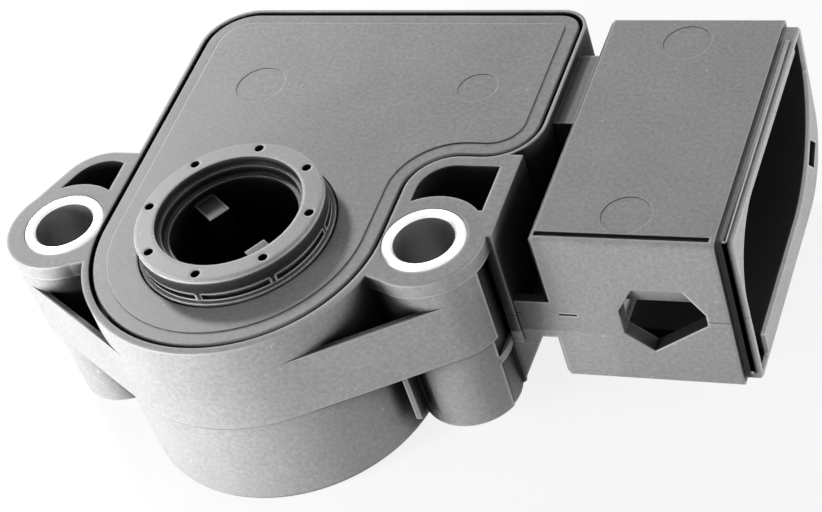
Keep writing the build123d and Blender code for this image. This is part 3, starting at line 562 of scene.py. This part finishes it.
@dataclass(frozen=True)
class DullSolid:
    """Rubber, printed ink, laminate or waxy sheet: two near tones in a fine texture.

    Sizes are in millimetres.
    """

    name: str
    base: str
    second: str
    roughness: float
    texture: float
    texture_range: tuple[float, float] = (0.35, 0.65)
    depth: float = 0.004
    rough_swing: float = 0.08
    ior: float = 1.5

    def build(self) -> bpy.types.Material:
        """Makes the node material.

        Returns:
            The finished material.
        """
        material = new_material(self.name)
        tree = material.node_tree
        place = add_node(tree, "TexCoord").outputs["Object"]
        fine = add_node(
            tree, "TexNoise", {"Vector": place, "Scale": per_mm(self.texture), "Detail": 4.0}
        ).outputs["Fac"]
        start, full = self.texture_range
        share = add_node(
            tree, "MapRange", {"Value": fine, "From Min": start, "From Max": full}
        ).outputs["Result"]
        body = add_node(
            tree, "Mix",
            {MIX_SHARE: share, MIX_LOWER: linear(self.base), MIX_UPPER: linear(self.second)},
            data_type="RGBA",
        ).outputs[MIX_RESULT]
        rough = add_node(
            tree, "MapRange",
            {"Value": fine, "To Min": self.roughness - self.rough_swing,
             "To Max": self.roughness + self.rough_swing},
        ).outputs["Result"]
        end_surface(
            tree, {"Height": fine, "Distance": self.depth * MM},
            {"Base Color": body, "Roughness": rough, "IOR": self.ior},
        )
        return material


Finish = MouldedPlastic | Metal | DullSolid
Wardrobe = dict[Slot, bpy.types.Material]

FINISHES: dict[Slot, Finish] = {
    # Glass-filled polyester, moulded: mid grey, matt, with a witness line at the parting plane that
    # is drawn dark as painted shadow under its step, painted shade in its recesses and gaps, and a
    # pale edge line of rubbed plastic and painted highlight; the gusset under the neck gets no
    # painted shade
    Slot.HOUSING: MouldedPlastic(
        "glass_filled_polyester_moulded", "9A9A9A", "D8D8D8", "060606", seam_z=-9.4,
        recess_free=(21.3, 30.5, -11.4),
    ),
    # The cover is moulded in the same polyester, a touch smoother on its flat face, with painted
    # shade in its gaps and a pale edge line of rubbed plastic and painted highlight
    Slot.COVER: MouldedPlastic(
        "glass_filled_polyester_cover", "989898", "DCDCDC", "060606", roughness=0.48,
        edge_wear_and_highlight=0.8, edge_radius=0.24, recess_open=0.6, recess_shut=0.3, crease_reach=0.5,
    ),
    # Acetal copolymer, moulded and slightly waxy where the shaft turns it; painted shade darkens its
    # socket and the flank of its collar, and its edges get a pale line of rubbed plastic and painted
    # highlight
    Slot.ROTOR: MouldedPlastic(
        "acetal_copolymer_moulded", "A2A2A2", "EEEEEE", "050505", roughness=0.42, grain=0.18,
        recess_open=0.64, recess_shut=0.44, crease_reach=7.0, crease_open=0.99, crease_shut=0.74,
        crease_dark=0.97,
    ),
    # Turned steel with bright zinc plate: almost white under studio light, with painted shade in the
    # bore
    Slot.BUSH: Metal("bright_zinc_plated_steel_turned", "F4F4F4", "D0D0D0", 0.4, bore_shade="B4B4B4"),
    # Nitrile rubber, moulded: near black and dull
    Slot.SEAL: DullSolid("nitrile_rubber_moulded", "0B0B0B", "1A1A1A", 0.75, 0.2),
    # Filled PTFE sheet, punched: pale and waxy
    Slot.WASHER: DullSolid("filled_ptfe_punched", "C9C9C9", "B4B4B4", 0.45, 0.3, ior=1.36),
    # Sintered bronze: brown, with small dark pores
    Slot.BEARING: Metal("sintered_bronze", "B08A5A", "6E5233", 0.45, stain=0.6),
    # Drawn spring wire, oiled: mid grey with a soft gleam
    Slot.SPRING: Metal("drawn_spring_steel", "A9A9A9", "6A6A6A", 0.32),
    # Glass-epoxy laminate, pressed: dull green with a faint mottle
    Slot.BOARD: DullSolid("glass_epoxy_laminate", "5C6A4A", "6E7B58", 0.4, 0.8),
    # Carbon ink, screen-printed: matt black
    Slot.CARBON: DullSolid("carbon_ink_printed", "101010", "1C1C1C", 0.55, 0.15),
    # Silver ink, screen-printed: dull and granular
    Slot.SILVER: Metal("silver_ink_printed", "CFCFCF", "9A9A9A", 0.5, stain=0.8),
    # Phosphor bronze strip, rolled and stamped: warm and bright
    Slot.CONTACT: Metal("phosphor_bronze_strip", "C79A63", "8A6438", 0.28),
    # Tin-plated brass, stamped: pale, with the brass faintly warm under the tin
    Slot.TERMINAL: Metal("tin_plated_brass_stamped", "D2CFC6", "A39B84", 0.3),
}


@dataclass(frozen=True)
class View:
    """Camera of the photograph.

    Its turns are in degrees, its place and sensor in millimetres, and its focal length and the
    point that the lens looks at in pixels of the photograph.
    """

    azimuth: float = 32.1
    elevation: float = 42.93
    roll: float = -20.01
    place: tuple[float, float, float] = (90.447, -120.204, 123.33)
    focal_px: float = 2305.832
    centre_px: tuple[float, float] = (427.627, 310.867)
    image_px: tuple[int, int] = (822, 512)
    sensor: float = 36.0
    clip_m: tuple[float, float] = (0.01, 10.0)

    def build(self) -> bpy.types.Object:
        """Adds the camera and makes it the scene's.

        Returns:
            The camera object.
        """
        turn, lift = math.radians(self.azimuth), math.radians(self.elevation)
        level = Vector((math.cos(turn), math.sin(turn), 0))
        back = Vector(
            (math.sin(turn) * math.cos(lift), -math.cos(turn) * math.cos(lift), math.sin(lift))
        )
        upright = back.cross(level)
        roll = math.radians(self.roll)
        right = math.cos(roll) * level + math.sin(roll) * upright
        up = -math.sin(roll) * level + math.cos(roll) * upright
        width, height = self.image_px
        data = bpy.data.cameras.new("photo_view")
        data.sensor_fit = "HORIZONTAL"
        data.sensor_width = self.sensor
        data.lens = self.sensor * self.focal_px / width
        data.shift_x = (width / 2 - self.centre_px[0]) / width
        data.shift_y = (self.centre_px[1] - height / 2) / width
        data.clip_start, data.clip_end = self.clip_m
        camera = bpy.data.objects.new("photo_view", data)
        bpy.context.scene.collection.objects.link(camera)
        camera.matrix_world = Matrix.Translation(Vector(self.place) * MM) @ Matrix(
            (right, up, back)
        ).transposed().to_4x4()
        bpy.context.scene.camera = camera
        return camera


@dataclass(frozen=True)
class Lamp:
    """One soft round lamp that faces the part.

    Its place and size are in millimetres. Its level is how bright it makes a white face that is
    turned to it at the middle of the part, where 1 is white.
    """

    name: str
    place: tuple[float, float, float]
    size: float
    level: float

    def build(self, aim: Vector) -> bpy.types.Object:
        """Adds the lamp.

        Args:
            aim: Point that the lamp faces.

        Returns:
            The lamp object.
        """
        place = Vector(self.place) * MM
        away = place - aim
        data = bpy.data.lights.new(self.name, "AREA")
        data.shape = "DISK"
        data.size = self.size * MM
        # The light falls off with pi times the distance squared, and a matt face spreads it over pi
        data.energy = self.level * math.pi ** 2 * away.length_squared
        lamp = bpy.data.objects.new(self.name, data)
        bpy.context.scene.collection.objects.link(lamp)
        lamp.location = place
        lamp.rotation_mode = "QUATERNION"
        lamp.rotation_quaternion = away.to_track_quat("Z", "Y")
        lamp.visible_camera = False
        return lamp


@dataclass(frozen=True)
class Studio:
    """Pale floor, soft lamps and the white surroundings.

    The gap under the part is in millimetres and the floor's size in metres.
    """

    floor_gap: float = 0.05
    floor_size: float = 1.6
    floor_colour: str = "F4F4F4"
    floor_glow: float = 0.85
    room_colour: str = "FFFFFF"
    ambient: float = 0.22
    lamps: tuple[Lamp, ...] = (
        Lamp("key_lamp", (-58.0, -74.0, 5.0), 36.0, 1.2),
        Lamp("back_lamp", (-98.0, 84.0, 100.0), 28.0, 0.68),
        Lamp("side_lamp", (170.0, 30.0, 12.0), 80.0, 0.6),
    )

    def build(self) -> None:
        """Builds the floor, the world and the lamps."""
        low, high = CAD_BOX
        aim = (low + high) / 2
        self.lay_floor(low.z - self.floor_gap * MM)
        self.light_world()
        for lamp in self.lamps:
            lamp.build(aim)

    def lay_floor(self, level: float) -> None:
        """Adds the floor under the part, white where it is seen but with the part's shadow.

        Args:
            level: Height of the floor, in metres.
        """
        bpy.ops.object.select_all(action="DESELECT")
        bpy.ops.mesh.primitive_plane_add(size=self.floor_size, location=(0, 0, level))
        floor = bpy.context.object
        floor.name = "floor"
        # Matt white paper: an even pale ground
        material = new_material("white_paper_floor")
        tree = material.node_tree
        share = add_node(
            tree, "Math", {0: self.seen_rays(tree), 1: self.floor_glow}, operation="MULTIPLY"
        ).outputs[0]
        matt = add_node(tree, "BsdfDiffuse", {"Color": linear(self.floor_colour)}).outputs[0]
        white = add_node(tree, "Emission", {"Strength": 1.0}).outputs[0]
        mixed = add_node(tree, "MixShader", {0: share, 1: matt, 2: white}).outputs[0]
        add_node(tree, "OutputMaterial", {"Surface": mixed})
        floor.data.materials.append(material)

    def light_world(self) -> None:
        """Gives a white surrounding to what is seen and a soft ambient to what is lit."""
        world = bpy.data.worlds.new("white_room")
        bpy.context.scene.world = world
        world.use_nodes = True
        tree = world.node_tree
        tree.nodes.clear()
        strength = add_node(
            tree, "MapRange",
            {"Value": self.seen_rays(tree), "To Min": self.ambient, "To Max": 1.0},
        ).outputs["Result"]
        glow = add_node(
            tree, "Background", {"Strength": strength, "Color": linear(self.room_colour)}
        )
        add_node(tree, "OutputWorld", {"Surface": glow.outputs[0]})

    @staticmethod
    def seen_rays(tree: bpy.types.NodeTree) -> Socket:
        """Adds up the camera, glossy and transmission rays.

        Args:
            tree: Node tree that reads them.

        Returns:
            One for a ray that shows the surroundings, else zero.
        """
        rays = add_node(tree, "LightPath").outputs
        two = add_node(
            tree, "Math", {0: rays["Is Camera Ray"], 1: rays["Is Glossy Ray"]},
            operation="MAXIMUM",
        ).outputs[0]
        return add_node(
            tree, "Math", {0: two, 1: rays["Is Transmission Ray"]}, operation="MAXIMUM"
        ).outputs[0]


@dataclass
class SubAssembly:
    """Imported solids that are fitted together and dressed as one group."""

    solids: tuple[str, ...]

    def dress(self, wardrobe: Wardrobe) -> None:
        """Gives each solid the finish of its slot in the record.

        Args:
            wardrobe: Finished material of each slot.
        """
        slots = {part["node"]: part["material_slot"] for part in frame["record"]["subparts"]}
        for name in self.solids:
            material = wardrobe[Slot(slots[name])]
            node = frame["nodes"][name]
            node.data.materials.clear()
            node.data.materials.append(material)
            LOG.info("%s: %s", name, material.name)


@dataclass
class MouldedHousing(SubAssembly):
    """Housing, its two pressed-in bushes and the bead round the mouth of the plug shroud.

    The bead's sizes are in millimetres: it lies on the set-back rim of the mouth, up the front and
    over the roof.
    """

    solids: tuple[str, ...] = ("housing", "bushing_left", "bushing_right")
    bead_left: float = 41.5
    bead_width: float = 0.32
    bead_rise: float = 0.2
    bead_root: float = 0.1
    rim_front: float = 1.7
    rim_top: float = -0.9
    bead_low: float = -15.9
    bead_back: float = 25.5
    bead_bevel: float = 0.07
    bevel_steps: int = 2

    def build(self, wardrobe: Wardrobe) -> None:
        """Dresses the solids and adds the bead.

        Args:
            wardrobe: Finished material of each slot.
        """
        self.dress(wardrobe)
        bead = self.mouth_bead()
        bead.data.materials.append(wardrobe[Slot.HOUSING])
        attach(bead, "body")
        LOG.info("%s: %s", bead.name, wardrobe[Slot.HOUSING].name)

    def mouth_bead(self) -> bpy.types.Object:
        """Models the bead as one bar that turns the corner from the front to the roof.

        Returns:
            The bead, with its place in its mesh.
        """
        thick = self.bead_rise + self.bead_root
        low = Vector(
            (self.bead_left, self.rim_front - self.bead_rise, self.rim_top - self.bead_root)
        )
        size = Vector((self.bead_width, thick, thick))
        corner = (low + size / 2) * MM
        bpy.ops.object.select_all(action="DESELECT")
        bpy.ops.mesh.primitive_cube_add(size=1.0, location=corner, scale=size * MM)
        bead = bpy.context.object
        bead.name = bead.data.name = "shroud_mouth_bead"
        bpy.ops.object.transform_apply(location=True, rotation=True, scale=True)
        self.stretch(bead, corner, Vector((0, 0, (self.bead_low - low.z) * MM)))
        self.stretch(bead, corner, Vector((0, (self.bead_back - low.y) * MM, 0)))
        bpy.ops.object.mode_set(mode="EDIT")
        bpy.ops.mesh.select_all(action="DESELECT")
        bpy.ops.mesh.edges_select_sharp(sharpness=SHARP_ANGLE)
        bpy.ops.mesh.bevel(
            offset=self.bead_bevel * MM, segments=self.bevel_steps, affect="EDGES"
        )
        bpy.ops.object.mode_set(mode="OBJECT")
        bpy.ops.object.shade_smooth_by_angle(angle=SMOOTH_ANGLE)
        return bead

    @staticmethod
    def stretch(piece: bpy.types.Object, near: Vector, run: Vector) -> None:
        """Extrudes the face that points along a run and lies nearest to a point.

        Args:
            piece: Mesh object to extrude.
            near: Point that the face lies nearest to.
            run: Direction and length of the extrusion.
        """
        mesh = piece.data
        ahead, least_cosine = run.normalized(), 0.99
        facing = [face for face in mesh.polygons if face.normal.dot(ahead) > least_cosine]
        chosen = min(facing, key=lambda face: (face.center - near).length)
        bpy.context.tool_settings.mesh_select_mode = (False, False, True)
        for face in mesh.polygons:
            face.select = face.index == chosen.index
        bpy.ops.object.mode_set(mode="EDIT")
        bpy.ops.mesh.extrude_region_move(TRANSFORM_OT_translate={"value": run})
        bpy.ops.object.mode_set(mode="OBJECT")


@dataclass
class CoverUnit(SubAssembly):
    """Cover plate with the bead that seals it, the collar's lip seal and the thrust washer."""

    solids: tuple[str, ...] = ("cover_plate", "cover_seal", "rotor_seal", "thrust_washer")


@dataclass
class DriveRotor(SubAssembly):
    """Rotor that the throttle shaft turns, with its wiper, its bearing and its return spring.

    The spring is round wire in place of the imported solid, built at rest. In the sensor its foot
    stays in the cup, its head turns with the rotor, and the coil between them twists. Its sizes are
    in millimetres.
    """

    solids: tuple[str, ...] = ("rotor", "wiper_contact", "bearing_bush")
    coil_r: float = 5.75
    wire_r: float = 0.4
    bend_r: float = 0.9
    turns: int = 2
    foot_z: float = -16.55
    head_z: float = -12.35
    foot_tip_x: float = 9.85
    head_tip_x: float = 2.65
    wire_sides: int = 16
    coil_steps: int = 144
    bend_steps: int = 6
    # Corners within this many wire radii of a ring's middle belong to that ring
    ring_slack: float = 1.05
    weld_m: float = 1e-7

    def build(self, wardrobe: Wardrobe) -> None:
        """Dresses the solids and adds the wire spring.

        Args:
            wardrobe: Finished material of each slot.
        """
        self.dress(wardrobe)
        spring = self.wire_spring()
        spring.data.materials.append(wardrobe[Slot.SPRING])
        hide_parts("return_spring")
        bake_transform(spring)
        LOG.info("%s: %s", spring.name, wardrobe[Slot.SPRING].name)

    def wire_spring(self) -> bpy.types.Object:
        """Models the coil with a screw modifier, then bends and draws out its two legs.

        Returns:
            The spring, with its place in its mesh.
        """
        lead = math.asin(self.bend_r / self.coil_r)
        reach = self.coil_r * math.cos(lead)
        bpy.ops.object.select_all(action="DESELECT")
        bpy.ops.mesh.primitive_circle_add(
            vertices=self.wire_sides, radius=self.wire_r * MM, fill_type="NOTHING",
            location=(reach * MM, self.bend_r * MM, self.foot_z * MM),
            rotation=(math.pi / 2, 0, lead),
        )
        spring = bpy.context.object
        spring.name = spring.data.name = "return_spring_wire"
        bpy.ops.object.transform_apply(location=True, rotation=True, scale=True)
        coil = spring.modifiers.new("coil", "SCREW")
        coil.angle = 2 * math.pi * self.turns - 2 * lead
        coil.screw_offset = (self.head_z - self.foot_z) * MM
        coil.steps = coil.render_steps = self.coil_steps
        bpy.ops.object.modifier_apply(modifier=coil.name)
        legs = ((1, self.foot_z, self.foot_tip_x), (-1, self.head_z, self.head_tip_x))
        for side, ring_z, tip_x in legs:
            ring = Vector((reach, side * self.bend_r, ring_z))
            self.draw_leg(spring, ring, side, tip_x - reach - side * self.bend_r)
        bpy.ops.object.mode_set(mode="EDIT")
        bpy.ops.mesh.select_all(action="SELECT")
        bpy.ops.mesh.remove_doubles(threshold=self.weld_m)
        bpy.ops.mesh.normals_make_consistent(inside=False)
        bpy.ops.object.mode_set(mode="OBJECT")
        bpy.ops.object.shade_smooth_by_angle(angle=SMOOTH_ANGLE)
        return spring

    def draw_leg(
        self, spring: bpy.types.Object, ring: Vector, side: int, run: float
    ) -> None:
        """Bends one end of the coil towards or away from the axis and closes its tip.

        Args:
            spring: Mesh object of the spring.
            ring: Middle of the end ring, in millimetres.
            side: One to bend outwards, minus one to bend inwards.
            run: Length of the straight leg along X, in millimetres.
        """
        bpy.context.tool_settings.mesh_select_mode = (True, False, False)
        reach = self.ring_slack * self.wire_r * MM
        for corner in spring.data.vertices:
            corner.select = (corner.co - ring * MM).length < reach
        bpy.ops.object.mode_set(mode="EDIT")
        # Spin turns clockwise for a positive angle here, so the quarter turn is negative
        bpy.ops.mesh.spin(
            steps=self.bend_steps, angle=-math.pi / 2, axis=(0, 0, 1),
            center=(ring + Vector((side * self.bend_r, 0, 0))) * MM,
        )
        bpy.ops.mesh.extrude_region_move(TRANSFORM_OT_translate={"value": (run * MM, 0, 0)})
        bpy.ops.mesh.edge_face_add()
        bpy.ops.mesh.select_all(action="DESELECT")
        bpy.ops.object.mode_set(mode="OBJECT")


@dataclass
class TrackBoard(SubAssembly):
    """Board with the printed track and leads, and the springs that join it to the terminals."""

    solids: tuple[str, ...] = (
        "element_board", "resistor_track",
        "conductor_supply", "conductor_signal", "conductor_ground",
        "contact_spring_supply", "contact_spring_signal", "contact_spring_ground",
    )


@dataclass
class PlugTerminals(SubAssembly):
    """Blades in the plug shroud and the rubber block that seals them."""

    solids: tuple[str, ...] = (
        "terminal_supply", "terminal_signal", "terminal_ground", "terminal_seal",
    )


def main() -> None:
    """Builds the sensor's looks, the studio and the camera."""
    logging.basicConfig(level=logging.INFO, format="%(message)s")
    bpy.context.scene.view_settings.view_transform = "Standard"
    wardrobe = {slot: finish.build() for slot, finish in FINISHES.items()}
    MouldedHousing().build(wardrobe)
    DriveRotor().build(wardrobe)
    for unit in (CoverUnit(), TrackBoard(), PlugTerminals()):
        unit.dress(wardrobe)
    Studio().build()
    View().build()


if __name__ == "__main__":
    main()
